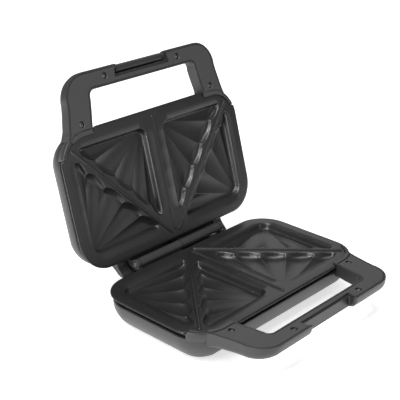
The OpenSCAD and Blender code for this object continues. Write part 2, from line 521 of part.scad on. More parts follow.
base_shell();
base_handle();
base_handle_cover();
base_handle_screws();
base_plate();
base_heater();
base_heater_clips();
base_heat_shield();
base_hinge_bracket();
base_hinge_screws();
hinge_pins();
thermostat();
thermal_fuse();
terminal_block();
cord_gland();
base_leads();
foot_pads();
base_bottom_screws();
base_rear_cover();
lid_shell();
lid_handle();
lid_handle_cover();
lid_handle_screws();
lid_plate();
lid_shield_screws();
lid_heater();
lid_heater_clips();
lid_heat_shield();
lid_hinge_bracket();
lid_hinge_screws();
power_lamp_lens();
ready_lamp_lens();
lamp_holder();
latch_pin();
latch_clip();
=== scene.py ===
import math

import bpy
import bmesh
import numpy as np
from mathutils import Matrix, Vector
from mathutils.geometry import delaunay_2d_cdt, tessellate_polygon


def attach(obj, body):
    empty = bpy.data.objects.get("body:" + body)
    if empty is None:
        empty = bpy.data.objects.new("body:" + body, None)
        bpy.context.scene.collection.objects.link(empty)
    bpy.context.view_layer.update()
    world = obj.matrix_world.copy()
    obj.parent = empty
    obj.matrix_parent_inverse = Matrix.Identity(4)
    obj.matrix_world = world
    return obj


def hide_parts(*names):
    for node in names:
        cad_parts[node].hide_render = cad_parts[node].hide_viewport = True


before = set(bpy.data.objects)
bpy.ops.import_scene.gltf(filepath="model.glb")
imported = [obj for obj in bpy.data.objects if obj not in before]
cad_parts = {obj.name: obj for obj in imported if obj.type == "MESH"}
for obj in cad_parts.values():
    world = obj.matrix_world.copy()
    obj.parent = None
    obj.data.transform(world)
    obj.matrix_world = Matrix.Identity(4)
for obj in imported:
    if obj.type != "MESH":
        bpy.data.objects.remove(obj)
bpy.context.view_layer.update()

# ------------------------------------------------------------------ sizes, mm
HW, HD, R = 115.0, 62.0, 27.5
FACE_H, GAP = 37.0, 2.4
HINGE_Y, HINGE_Z = 74.0, FACE_H + GAP / 2
OPEN = math.radians(106.0)
UP, THICK = 1.0, 14.0
HANDLE_Y, HOLE_Y, NOTCH_Y, NW = 117.3, -99.4, -107.6, 33.5
LATCH_Y, LATCH_Z = -111.8, 6.0
ROW_Y = -18.41
SWING = math.radians(210.0)
DEPTH = 6.2


def base_place(p):
    q = np.array(p, float).reshape(-1, 3).copy()
    q[:, 1] += ROW_Y
    q[:, 2] += FACE_H
    return q / 1000


def lid_place(p):
    q = np.array(p, float).reshape(-1, 3).copy()
    q[:, 2] = FACE_H + GAP - q[:, 2]
    y, z = q[:, 1] - HINGE_Y, q[:, 2] - HINGE_Z
    c, s = math.cos(OPEN), math.sin(OPEN)
    q[:, 1], q[:, 2] = c * y + s * z + HINGE_Y + ROW_Y, -s * y + c * z + HINGE_Z
    return q / 1000


PLACE = {"base": base_place, "lid": lid_place}


# ------------------------------------------------------------------ meshes
def drop_slivers(me):
    """Takes away the tiny loose faces that a cut can leave behind."""
    bm = bmesh.new()
    bm.from_mesh(me)
    bmesh.ops.triangulate(bm, faces=bm.faces[:])
    bm.faces.index_update()
    seen, loose = set(), []
    for f in bm.faces:
        if f.index in seen:
            continue
        seen.add(f.index)
        stack, part = [f], []
        while stack:
            g = stack.pop()
            part.append(g)
            for e in g.edges:
                if len(e.link_faces) == 2:
                    for h in e.link_faces:
                        if h.index not in seen:
                            seen.add(h.index)
                            stack.append(h)
        if len(part) < 8:
            loose += part
    bmesh.ops.delete(bm, geom=loose, context="FACES")
    bm.to_mesh(me)
    bm.free()


def piece(name, verts, faces, half, material, body=None, slot=None, replaces=(), angle=32, recalc=False,
          weighted=True, cutters=None, bevel=None):
    """A mesh drawn in a half's own frame (z = 0 on its cooking face), put in place."""
    pts = PLACE[half](verts) if half in PLACE else np.array(verts, float) / 1000
    flip = half == "lid"
    me = bpy.data.meshes.new(name)
    me.from_pydata([tuple(v) for v in pts], [], [tuple(f[::-1]) if flip else tuple(f) for f in faces])
    bm = bmesh.new()
    bm.from_mesh(me)
    bmesh.ops.remove_doubles(bm, verts=bm.verts, dist=2e-6)
    bmesh.ops.dissolve_degenerate(bm, dist=1e-6, edges=bm.edges)
    if recalc:
        bmesh.ops.recalc_face_normals(bm, faces=bm.faces)
    bm.to_mesh(me)
    bm.free()
    ob = bpy.data.objects.new(name, me)
    bpy.context.scene.collection.objects.link(ob)
    if cutters:
        for c in cutters:
            m = ob.modifiers.new("cut", "BOOLEAN")
            m.operation, m.solver, m.object = "DIFFERENCE", "EXACT", c
        bpy.context.view_layer.update()
        ev = ob.evaluated_get(bpy.context.evaluated_depsgraph_get())
        new = bpy.data.meshes.new_from_object(ev)
        ob.modifiers.clear()
        drop_slivers(new)
        ob.data = new
        for c in cutters:
            bpy.data.objects.remove(c)
    me = ob.data
    for p in me.polygons:
        p.use_smooth = True
    if bevel:
        m = ob.modifiers.new("bevel", "BEVEL")
        m.width, m.segments, m.limit_method, m.angle_limit = bevel / 1000, 2, "ANGLE", math.radians(35)
        m.harden_normals = True
    me.set_sharp_from_angle(angle=math.radians(angle))
    if weighted:
        m = ob.modifiers.new("normals", "WEIGHTED_NORMAL")
        m.keep_sharp = True
    me.materials.clear()
    me.materials.append(material)
    if replaces:
        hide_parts(*replaces)
    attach(ob, body or half)
    return ob


def cutter(verts, faces, half):
    pts = PLACE[half](verts)
    me = bpy.data.meshes.new("cutter")
    me.from_pydata([tuple(v) for v in pts], [], [tuple(f) for f in faces])
    bm = bmesh.new()
    bm.from_mesh(me)
    bmesh.ops.recalc_face_normals(bm, faces=bm.faces)
    bm.to_mesh(me)
    bm.free()
    ob = bpy.data.objects.new("cutter", me)
    bpy.context.scene.collection.objects.link(ob)
    return ob


def loft(loops, closed=True, cap0=True, cap1=True, fill=False):
    """Quads between successive loops of the same length."""
    n = len(loops[0])
    verts = np.vstack([np.asarray(l, float) for l in loops])
    faces = []
    for k in range(len(loops) - 1):
        for i in range(n if closed else n - 1):
            j = (i + 1) % n
            faces.append((k * n + i, k * n + j, (k + 1) * n + j, (k + 1) * n + i))
    for cap, o in ((cap0, 0), (cap1, (len(loops) - 1) * n)):
        if cap and fill:
            faces += [tuple(i + o for i in t) for t in tessellate_polygon([[Vector(p) for p in verts[o:o + n]]])]
        elif cap:
            faces.append(tuple(range(o + n - 1, o - 1, -1)) if o == 0 else tuple(range(o, o + n)))
    return verts, faces


def merge(*parts):
    verts, faces, o = [], [], 0
    for v, f in parts:
        verts.append(np.asarray(v, float))
        faces += [tuple(i + o for i in q) for q in f]
        o += len(v)
    return np.vstack(verts), faces


def turned(profile, n=48, axis="z", at=(0, 0, 0), closed=False):
    """Solid of revolution. profile: [radius, position along the axis]."""
    loops = []
    for r, h in profile:
        a = np.linspace(0, 2 * np.pi, n, endpoint=False)
        c, s = r * np.cos(a), r * np.sin(a)
        z = np.full(n, h)
        loops.append({"z": np.c_[c, s, z], "x": np.c_[z, c, s], "y": np.c_[s, z, c]}[axis] + np.array(at, float))
    v, f = loft(loops, cap0=not closed, cap1=not closed)
    if closed:
        m = (len(loops) - 1) * n
        f += [(m + i, m + (i + 1) % n, (i + 1) % n, i) for i in range(n)]
    return v, f


def spline(points, step=1.0, closed=False):
    """Catmull-Rom through the points, at even spacing."""
    p = np.array(points, float)
    if closed:
        q = np.vstack([p[-1], p, p[0], p[1]])
    else:
        q = np.vstack([2 * p[0] - p[1], p, 2 * p[-1] - p[-2]])
    out = []
    for i in range(1, len(q) - 2):
        a, b, c, d = q[i - 1], q[i], q[i + 1], q[i + 2]
        t = np.linspace(0, 1, 24, endpoint=False)[:, None]
        out.append(0.5 * ((2 * b) + (c - a) * t + (2 * a - 5 * b + 4 * c - d) * t**2 + (3 * b - 3 * c + d - a) * t**3))
    out = np.vstack(out + ([] if closed else [p[-1:]]))
    d = np.r_[0, np.cumsum(np.linalg.norm(np.diff(out, axis=0), axis=1))]
    n = max(2, int(round(d[-1] / step)))
    s = np.linspace(0, d[-1], n + 1)
    if closed:
        s = s[:-1]
    return np.c_[tuple(np.interp(s, d, out[:, k]) for k in range(p.shape[1]))]


def arc(cx, cy, r, a0, a1, n):
    a = np.radians(np.linspace(a0, a1, n + 1))
    return np.c_[cx + r * np.cos(a), cy + r * np.sin(a)]


# ------------------------------------------------------------------ materials
def material(name, dark, light, rough, grain_mm, bump, coat=0.0, metallic=0.0, patch_mm=30.0, rough_var=0.06,
             specular=0.5, speck=0.0):
    """Procedural finish: a slow drift of tone, a fine grain in tone and bump, and an uneven roughness."""
    m = bpy.data.materials.new(name)
    m.use_nodes = True
    nt = m.node_tree
    for n in list(nt.nodes):
        nt.nodes.remove(n)
    N = nt.nodes.new
    out, bsdf = N("ShaderNodeOutputMaterial"), N("ShaderNodeBsdfPrincipled")
    co = N("ShaderNodeTexCoord")
    slow, fine = N("ShaderNodeTexNoise"), N("ShaderNodeTexNoise")
    slow.inputs["Scale"].default_value = 1000.0 / patch_mm
    slow.inputs["Detail"].default_value = 3.0
    fine.inputs["Scale"].default_value = 1000.0 / grain_mm
    fine.inputs["Detail"].default_value = 4.0
    fine.inputs["Roughness"].default_value = 0.6
    nt.links.new(co.outputs["Object"], slow.inputs["Vector"])
    nt.links.new(co.outputs["Object"], fine.inputs["Vector"])
    ramp = N("ShaderNodeValToRGB")
    ramp.color_ramp.elements[0].color = (*dark, 1)
    ramp.color_ramp.elements[1].color = (*light, 1)
    ramp.color_ramp.elements[0].position, ramp.color_ramp.elements[1].position = 0.32, 0.68
    mix = N("ShaderNodeMath")
    mix.operation = "MULTIPLY_ADD"
    mix.inputs[1].default_value = 0.45
    nt.links.new(fine.outputs["Fac"], mix.inputs[0])
    half = N("ShaderNodeMath")
    half.operation = "MULTIPLY"
    half.inputs[1].default_value = 0.55
    nt.links.new(slow.outputs["Fac"], half.inputs[0])
    nt.links.new(half.outputs[0], mix.inputs[2])
    nt.links.new(mix.outputs[0], ramp.inputs["Fac"])
    nt.links.new(ramp.outputs["Color"], bsdf.inputs["Base Color"])
    mr = N("ShaderNodeMapRange")
    mr.inputs["To Min"].default_value = rough - rough_var
    mr.inputs["To Max"].default_value = rough + rough_var
    nt.links.new(mix.outputs[0], mr.inputs["Value"])
    nt.links.new(mr.outputs["Result"], bsdf.inputs["Roughness"])
    b = N("ShaderNodeBump")
    b.inputs["Strength"].default_value = bump
    b.inputs["Distance"].default_value = 0.00012
    nt.links.new(fine.outputs["Fac"], b.inputs["Height"])
    nt.links.new(b.outputs["Normal"], bsdf.inputs["Normal"])
    bsdf.inputs["Metallic"].default_value = metallic
    bsdf.inputs["Specular IOR Level"].default_value = specular
    bsdf.inputs["Coat Weight"].default_value = coat
    bsdf.inputs["Coat Roughness"].default_value = 0.25
    nt.links.new(bsdf.outputs["BSDF"], out.inputs["Surface"])
    return m


def grey(v, t=0.0):
    return (v, v * (1 + t * 0.3), v * (1 + t))


MAT = {
    "casing": material("casing_plastic", grey(0.015), grey(0.021), 0.44, 0.55, 0.35),
    "handle": material("handle_plastic", grey(0.016), grey(0.023), 0.42, 0.6, 0.30),
    "cover": material("handle_cover_plastic", grey(0.034), grey(0.044), 0.50, 0.45, 0.45),
    "plate": material("nonstick_coating", grey(0.010), grey(0.015), 0.32, 0.7, 0.28, coat=0.0, specular=0.5),
    "hinge": material("hinge_plastic", grey(0.024), grey(0.034), 0.34, 0.5, 0.25),
    "latch": material("latch_plastic", grey(0.016), grey(0.023), 0.38, 0.5, 0.25),
    "screw": material("blackened_screw", grey(0.13), grey(0.2), 0.26, 0.4, 0.25, metallic=0.9),
    "steel": material("zinc_steel", grey(0.45), grey(0.6), 0.30, 0.5, 0.2, metallic=1.0),
    "shield": material("bright_sheet", grey(0.6), grey(0.72), 0.28, 0.8, 0.15, metallic=1.0),
    "sheath": material("heater_sheath", grey(0.22), grey(0.33), 0.45, 0.5, 0.3, metallic=0.9),
    "ceramic": material("ceramic_and_strap", (0.55, 0.50, 0.42), (0.66, 0.61, 0.52), 0.5, 0.5, 0.2),
    "block": material("moulded_block", (0.62, 0.61, 0.56), (0.72, 0.71, 0.66), 0.45, 0.6, 0.2),
    "rubber": material("dark_rubber", grey(0.018), grey(0.028), 0.72, 0.5, 0.6),
    "lead": material("silicone_lead", (0.35, 0.05, 0.04), (0.45, 0.08, 0.06), 0.5, 0.6, 0.25),
    "red": material("red_lens", (0.45, 0.015, 0.012), (0.6, 0.03, 0.02), 0.18, 0.8, 0.1, coat=0.5),
    "green": material("green_lens", (0.02, 0.30, 0.06), (0.04, 0.42, 0.10), 0.18, 0.8, 0.1, coat=0.5),
}
CARRIED = {
    "base_handle_screws": "screw", "lid_handle_screws": "screw", "base_bottom_screws": "screw",
    "base_heater": "sheath", "lid_heater": "sheath", "base_heater_clips": "steel", "lid_heater_clips": "steel",
    "base_heat_shield": "shield", "lid_heat_shield": "shield", "base_hinge_bracket": "hinge",
    "lid_hinge_bracket": "hinge", "base_hinge_screws": "steel", "lid_hinge_screws": "steel", "hinge_pins": "steel",
    "thermostat": "ceramic", "thermal_fuse": "steel", "terminal_block": "block", "cord_gland": "rubber",
    "base_leads": "lead", "foot_pads": "rubber", "base_rear_cover": "casing", "lid_shield_screws": "steel",
    "power_lamp_lens": "red", "ready_lamp_lens": "green", "lamp_holder": "block", "latch_pin": "steel",
    "base_shell": "casing", "lid_shell": "casing", "base_handle": "handle", "lid_handle": "handle",
    "base_handle_cover": "cover", "lid_handle_cover": "cover", "base_plate": "plate", "lid_plate": "plate",
    "latch_clip": "latch",
}
for node, key in CARRIED.items():
    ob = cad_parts[node]
    if not ob.material_slots:
        ob.data.materials.append(MAT[key])
    for s in ob.material_slots:
        s.material = MAT[key]


# ------------------------------------------------------------------ cooking plates
def outline(o, seg=28, straight=1.6):
    """Closed loop round the plate at a given outset, with each point's outward normal."""
    pts, nor = [], []
    for q in range(4):
        cx = (HW - R) * (1 if q in (0, 3) else -1)
        cy = (HD - R) * (1 if q < 2 else -1)
        a = np.radians(np.linspace(90 * q, 90 * q + 90, seg + 1))
        c, s = np.cos(a), np.sin(a)
        pts += list(np.c_[cx + (R + o) * c, cy + (R + o) * s])
        nor += list(np.c_[c, s])
        # straight run to the next corner
        length = 2 * (HD - R) if q in (1, 3) else 2 * (HW - R)
        n = max(2, int(length / straight))
        nx = [(0, 1), (-1, 0), (0, -1), (1, 0)][q]
        e = pts[-1]
        d = [(-1, 0), (0, -1), (1, 0), (0, 1)][q]
        for k in range(1, n):
            pts.append(np.array([e[0] + d[0] * length * k / n, e[1] + d[1] * length * k / n]))
            nor.append(np.array(nx, float))
    return np.array(pts), np.array(nor)


CR_A = [0, 0.21, 0.427, 0.65, 0.856, 1]
CR_B = [0, 0.181, 0.411, 0.621, 0.834, 1]


def soft(t):
    t = np.clip(t, 0, 1)
    return t * t * (3 - 2 * t)


END = 8.0          # length of a flute's scooped end
SIDE = 3.3         # plan width of a pocket's straight walls


class Pocket:
    """One triangular pocket: a rounded right-angled corner and five flutes that fan out
    from it, each with a scooped end along the long side."""

    def __init__(self, c, leg, cr, r):
        self.c, self.leg, self.cr, self.r = np.array(c, float), np.array(leg, float), np.array(cr), r
        self.s = np.sign(self.leg)
        self.L = np.hypot(*self.leg)
        self.H = abs(self.leg[0] * self.leg[1]) / self.L

    def uv(self, P):
        return (P[:, 0] - self.c[0]) / self.leg[0], (P[:, 1] - self.c[1]) / self.leg[1]

    def terms(self, P):
        """Where a point lies: 1 on a flute's floor and 0 at the rim of its end, distance from the rim, distance from the legs."""
        u, v = self.uv(P)
        rho = np.clip(u + v, 1e-6, None)
        p = np.clip(v / rho, 0, 1)
        k = np.clip(np.searchsorted(self.cr, p, side="right") - 1, 0, 4)
        lo, hi = self.cr[k], self.cr[k + 1]
        f = 2 * (p - lo) / (hi - lo) - 1
        half = (hi - lo) * self.L * rho / 2
        h = (1 - rho) * self.H
        s = np.clip((END - h) / END, 0, None)
        dx, dy = u * abs(self.leg[0]), v * abs(self.leg[1])
        d = np.minimum(dx, dy)
        # the outer half of the two end flutes lies level, and its end is rounded to the leg
        outer = ((k == 0) & (f < 0)) | ((k == 4) & (f > 0))
        kap = 0.86 * np.clip(rho, 0, 1) ** 2.4
        q = 1 - s * s - kap * np.where(outer, 0, f) ** 2
        corner = np.clip((7.0 - d) / 7.0, 0, None) ** 2 * np.clip(s * 1.3, 0, 1)
        q = np.where(outer, 1 - s * s - corner, q)
        slope = 2 * np.sqrt(s * s / END ** 2 + np.where(outer, 0, kap * f / half) ** 2) + 1e-3
        return q, q / slope, dx, dy, (u > 0) & (v > 0) & (h > 0)

    def depth(self, P):
        q, e, dx, dy, inside = self.terms(P)
        rc = self.r
        d = np.where((dx < rc) & (dy < rc), rc - np.hypot(rc - dx, rc - dy), np.minimum(dx, dy))
        side = soft(d / SIDE)
        wall = np.minimum(np.sqrt(np.clip(q, 0, None)), np.clip(e, 0, None) ** 2 / 0.9 / DEPTH)
        return np.where(inside & (q > 0), DEPTH * wall * side, 0)

    def at(self, rho, p):
        return self.c + np.c_[self.leg[0] * rho * (1 - p), self.leg[1] * rho * p]

    def rim(self, level):
        """The scooped ends' edge, or a line at a given level inside it."""
        p = np.concatenate([np.linspace(self.cr[k], self.cr[k + 1], 25)[:-1] for k in range(5)])
        p = np.r_[max(p[0], 0.012), p[1:], 0.988]
        rho = np.linspace(1, 1, len(p))
        out = []
        for t in np.linspace(1.0, 0.86, 281):
            q = self.terms(self.at(np.full(len(p), t), p))[0]
            out.append(q)
        out = np.array(out)
        hit = np.argmax(out >= level, axis=0)
        ok = out.max(axis=0) >= level
        rho = np.linspace(1.0, 0.86, 281)[hit]
        pts = self.at(rho, p)
        return pts[ok]

    def points(self, g):
        """Points of a fine triangular grid over the pocket, and of its creases and rims."""
        w, t = abs(self.leg[0]), abs(self.leg[1])
        pts = []
        for j, y in enumerate(np.arange(g / 2, t, g * 0.866)):
            xs = np.arange(g / 2 + (j % 2) * g / 2, w, g)
            pts.append(np.c_[xs, np.full(len(xs), y)])
        P = self.c + np.vstack(pts) * self.s
        u, v = self.uv(P)
        rho = u + v
        P = P[rho < 1 - 0.5 * g / self.H]
        u, v = self.uv(P)
        rho, p = u + v, v / (u + v)
        near = np.zeros(len(P), bool)
        lines = []
        for c in self.cr[1:-1]:
            near |= (np.abs(p - c) * self.L * rho < g * 0.45) & (rho > 0.1)
            q = np.linspace(0.1, 0.905, int(self.H * 0.82 / g))
            lines.append(self.at(q, np.full(len(q), c)))
        e = self.terms(P)[1]
        rims = []
        for level, off in ((0.0, 0.0),):
            r = self.rim(level)
            lines.append(r)
            rims.append(r)
        R0 = np.vstack(rims)
        for i in range(0, len(P), 4000):
            q = P[i:i + 4000]
            dd = np.min(np.hypot(q[:, None, 0] - R0[None, :, 0], q[:, None, 1] - R0[None, :, 1]), axis=1)
            near[i:i + 4000] |= dd < g * 0.42
        # border: the two legs and the long side
        n1, n2 = int(w / 3), int(t / 3)
        e = [self.c + np.array([self.leg[0] * q, 0]) for q in np.linspace(1, 0, n1)[:-1]]
        e += [self.c + np.array([0, self.leg[1] * q]) for q in np.linspace(0, 1, n2)]
        e += [self.c + np.array([self.leg[0] * q, self.leg[1] * (1 - q)]) for q in np.linspace(0, 1, 45)[1:-1]]
        return P[~near], lines, np.array(e)


POCKETS = []
for s in (-1, 1):
    POCKETS.append(Pocket((s * (HW - 10), HD - 11.5), (-s * 90.4, -95.3), CR_A, 11.0))
    POCKETS.append(Pocket((s * 11, -(HD - 10.7)), (s * 90.2, 95.1), CR_B, 9.5))


def bead_weight(p):
    """1 where the rolled edge stands, 0 where the handle hugs the plate."""
    x, y = abs(p[0]), p[1]
    if y > -HD + R:
        return 1.0
    if x > HW - R:
        a = math.degrees(math.atan2(p[1] + (HD - R), x - (HW - R)))  # 0 to -90
        return float(np.clip((a + 20.4) / 2.2, 0, 1))
    return float(np.clip((75.5 - x) / 3.0, 0, 1))


def smooth(t):
    return t * t * (3 - 2 * t)


def plate_mesh(g=0.85):
    # rolled edge, or plain edge beside the handle
    ring, nor = outline(0.0)
    w = np.array([smooth(bead_weight(p)) for p in ring])
    th = np.radians(np.linspace(90, -90, 13))
    roll = [(-3.4, 0.0), (-2.4, 0.0), (-1.4, 0.0), (-0.4, 0.0), (0.9, 0.0), (2.3, -0.02),
            (2.9, -0.08), (3.35, -0.2), (3.7, -0.36), (4.0, -0.58), (4.22, -0.85), (4.35, -1.12), (4.4, -1.35),
            (4.36, -1.56), (4.22, -1.74), (3.95, -1.86), (3.4, -1.92), (2.6, -1.94), (1.2, -1.96), (-1.3, -2.0), (-1.5, -14.0)]
    plain = [(-4.4, 0.0), (-4.0, 0.0), (-3.6, 0.0), (-3.2, 0.0), (-2.8, 0.0), (-2.3, 0.0)] + \
        [(-1.9 + 0.5 * math.cos(t), -0.5 + 0.5 * math.sin(t)) if t > 0 else (-1.4, -0.5 - 5.9 * (-t / (np.pi / 2))) for t in th] + \
        [(-1.5, -6.45), (-1.7, -14.0)]
    loops = []
    for a, b in zip(roll, plain):
        o = a[0] * w + b[0] * (1 - w)
        z = a[1] * w + b[1] * (1 - w)
        loops.append(np.c_[ring + nor * o[:, None], z])
    n = len(ring)
    V, faces = loft(loops, cap0=False, cap1=True)
    flip = [f[::-1] for f in faces[:-1]] + [faces[-1][::-1]]
    faces = flip
    # the face itself: one triangulation that follows every crease
    co = [Vector(p[:2]) for p in loops[0]]
    edges = [(i, (i + 1) % n) for i in range(n)]
    for pk in POCKETS:
        P, lines, border = pk.points(g)
        for l in lines:
            o = len(co)
            co += [Vector(q) for q in l]
            edges += [(o + i, o + i + 1) for i in range(len(l) - 1)]
        o = len(co)
        co += [Vector(q) for q in border]
        edges += [(o + i, o + (i + 1) % len(border)) for i in range(len(border))]
        co += [Vector(q) for q in P]
    out, _, tris, _, _, _ = delaunay_2d_cdt(co, edges, [], 1, 1e-5)
    Q = np.array([tuple(v) for v in out])
    z = np.zeros(len(Q))
    for pk in POCKETS:
        z = np.maximum(z, pk.depth(Q))
    base = len(V)
    # the outer ring is shared: the merge by distance joins it
    V = np.vstack([V, np.c_[Q, -z]])
    for t in tris:
        a, b, c = (Q[i] for i in t)
        if (b[0] - a[0]) * (c[1] - a[1]) - (b[1] - a[1]) * (c[0] - a[0]) < 0:
            t = t[::-1]
        faces.append(tuple(base + i for i in t))
    return V, faces


def rib(a, b, w=1.75, h=1.15):
    """A raised ridge on the face from a to b: sloping flanks, a narrow rounded top and round ends."""
    a, b = np.array(a, float), np.array(b, float)
    d = (b - a) / np.linalg.norm(b - a)
    nrm = np.array([-d[1], d[0]])
    length = np.linalg.norm(b - a)
    ts = np.r_[w * (1 - np.cos(np.linspace(0, np.pi / 2, 9))), np.linspace(w, length - w, 30)[1:-1],
               length - w * (1 - np.cos(np.linspace(np.pi / 2, 0, 9)))]
    section = [(1.0, -0.25), (1.0, 0.0), (0.86, 0.16), (0.6, 0.72), (0.5, 0.9), (0.36, 0.985), (0.0, 1.0)]
    section += [(-x, z) for x, z in section[-2::-1]]
    loops = []
    for t in ts:
        e = min(t, length - t)
        k = math.sqrt(max(0.0, 1 - (1 - min(e / w, 1)) ** 2)) if e < w else 1.0
        k = max(k, 0.03)
        loops.append(np.array([np.r_[a + d * t + nrm * (w * k * x), h * z * (k ** 0.7 if z > 0 else 1)] for x, z in section]))
    return loft(loops)


PLATE = plate_mesh()
# the facing ridges share the gap between the shut faces
RIBS = {half: [rib((s * 4.2, 59.6), (s * 105.6, -50.8), h=h) for s in (-1, 1)] + [rib((0, 57.6), (0, -59.6), w=1.6, h=h)]
        for half, h in (("base", 1.5), ("lid", 0.8))}
for half in ("base", "lid"):
    piece(half + "_plate_casting", *PLATE, half, MAT["plate"], slot="plate", replaces=(half + "_plate",), angle=60,
          weighted=False)
    piece(half + "_plate_ribs", *merge(*RIBS[half]), half, MAT["plate"], slot="plate", angle=60, recalc=True,
          weighted=False)


# ------------------------------------------------------------------ casings
OUTER = [(0.75, -7.3), (0.95, -7.45), (1.5, -7.7), (1.8, -8.2), (1.85, -9.6), (1.4, -14), (-0.2, -19), (-3.4, -24.5), (-8, -29.5),
         (-13.2, -33.2), (-18, -34.75), (-21, -35)]
INNER = [(-21, -32.6), (-18, -32.5), (-14.6, -31.0), (-9.9, -27.8), (-5.7, -23.2), (-2.6, -18.2), (-1.0, -13.6),
         (-0.6, -9.6), (-0.7, -7.5), (-0.4, -7.25)]


def casing_mesh():
    # smooth the curved part of the outer profile
    prof = np.vstack([OUTER[:5], spline(OUTER[4:], 1.9)[1:], INNER])
    ring, nor = outline(0.0, seg=26, straight=4.0)
    loops = []
    for o, z in prof:
        # inside the corner radius the outline keeps a small radius of its own
        q = ring + nor * o
        loops.append(np.c_[q, np.full(len(q), z)])
    k = len(OUTER)
    v, f = loft(loops, cap0=False, cap1=False)
    n = len(ring)
    m = len(prof)
    f += [((m - 1) * n + i, (m - 1) * n + (i + 1) % n, (i + 1) % n, i) for i in range(n)]
    low = int(np.argmin(prof[:, 1]))
    # floor: take out the band that joins the two bottoms, and close both
    f = [q for q in f if not (min(q) // n == low and max(q) // n == low + 1)]
    f.append(tuple(low * n + i for i in range(n - 1, -1, -1)))
    f.append(tuple((low + 1) * n + i for i in range(n)))
    return v, f


def round_box(x0, x1, y0, y1, z0, z1, r, top=1.2, bottom=0.8, seg=8):
    """Upright box with round corners in plan and eased top and bottom edges."""
    def plan(i):
        out = []
        for q, (cx, cy) in enumerate(((x1 - r, y1 - r), (x0 + r, y1 - r), (x0 + r, y0 + r), (x1 - r, y0 + r))):
            out += list(arc(cx, cy, max(r - i, 0.05), 90 * q, 90 * q + 90, seg))
        return np.array(out)
    loops = []
    for t in np.linspace(0, np.pi / 2, 5):
        loops.append(np.c_[plan(bottom * (1 - math.sin(t))), np.full(4 * (seg + 1), z0 + bottom * (1 - math.cos(t)))])
    for t in np.linspace(0, np.pi / 2, 5):
        loops.append(np.c_[plan(top * (1 - math.cos(t))), np.full(4 * (seg + 1), z1 - top + top * math.sin(t))])
    return loft(loops)


def shoulder(side):
    """Thin wall round a front corner of the plate, beside the handle's arm."""
    prof = [(-0.85, -9.2), (1.75, -9.2), (2.5, -7.0), (3.2, -4.2), (3.45, -1.6), (3.25, -0.3), (2.8, 0.3), (1.9, 0.6), (0.7, 0.62), (-0.1, 0.45), (-0.6, 0.1), (-0.8, -0.6)]
    angles = np.r_[np.linspace(198.2, 202.4, 11), np.linspace(202.4, 242, 26)[1:]]
    loops = []
    for a in angles:
        k = 1.0 if a >= 202.4 else math.sqrt(max(0.0, 1 - ((202.4 - a) / 4.2) ** 2))
        row = []
        for o, z in prof:
            mid = 2.0
            rr = R + mid + (o - mid) * max(k, 0.06)
            zz = z if z < -6 else -6.6 + (z + 6.6) * (0.62 + 0.38 * k)
            t = math.radians(a)
            row.append((side * -1 * (-(HW - R) + rr * math.cos(t)) * -1, -(HD - R) + rr * math.sin(t), zz))
        loops.append(np.array(row))
    return loft(loops)


CASING = casing_mesh()
SHOULDERS = [shoulder(1), shoulder(-1)]


def feet():
    out = []
    for x in (-81.5, 81.5):
        for y in (-35.8, 35.8):
            out.append(turned([(13.2, -25.0), (13.0, -31.0), (12.6, -34.0), (12.0, -35.6), (11.4, -36.0), (8, -36.0)], 48, "z", (x, y, 0)))
    return out


base_parts = [CASING] + SHOULDERS + feet()
base_parts.append(round_box(-56, 56, 50, 84, -35, -14, 6))
for x in (-42, 42):
    base_parts.append(turned([(8.3, -33.0), (8.0, -35.6), (7.4, -36.0), (4, -36.0)], 40, "z", (x, 73, 0)))
for x in (13, 41):
    base_parts.append(round_box(x - 3, x + 3, 79.3, 83.8, -15, -10.2, 1.0, 0.6, 0.2, 4))
piece("base_casing", *merge(*base_parts), "base", MAT["casing"], slot="casing", replaces=("base_shell",), recalc=True)


def prism_x(poly, x0, x1, ease=0.8):
    """A shape drawn in y and z, extruded along x, with eased ends."""
    p = np.array(poly, float)
    c = p.mean(0)
    loops = []
    for x, k in ((x0, 0.9), (x0 + ease * 0.4, 0.97), (x0 + ease, 1.0), (x1 - ease, 1.0), (x1 - ease * 0.4, 0.97), (x1, 0.9)):
        q = c + (p - c) * k
        loops.append(np.c_[np.full(len(q), x), q])
    return loft(loops, fill=True)


EAR = spline([(61.0, -12.6), (66.6, -9.4), (72, -8.6), (77, -6.4), (82.2, -3.7), (83.8, -5.2), (81.0, -10.2), (76.6, -13.6), (70.6, -18.6), (61.6, -21.0)], 1.6)
HUMP = spline([(61.2, -12.8), (66.6, -12.3), (71.8, -12.6), (76.6, -9.2), (79.8, -5.6), (82.0, -4.1), (83.7, -5.5), (80.8, -10.1), (76.3, -13.3), (70.4, -18.4), (61.4, -20.6)], 1.6)
lid_parts = [CASING] + SHOULDERS + [prism_x(EAR, 62.6, 75.0), prism_x(EAR, -75.0, -62.6), prism_x(HUMP, -63.2, 63.2)]
piece("lid_casing", *merge(*lid_parts), "lid", MAT["casing"], slot="casing", replaces=("lid_shell",), recalc=True)


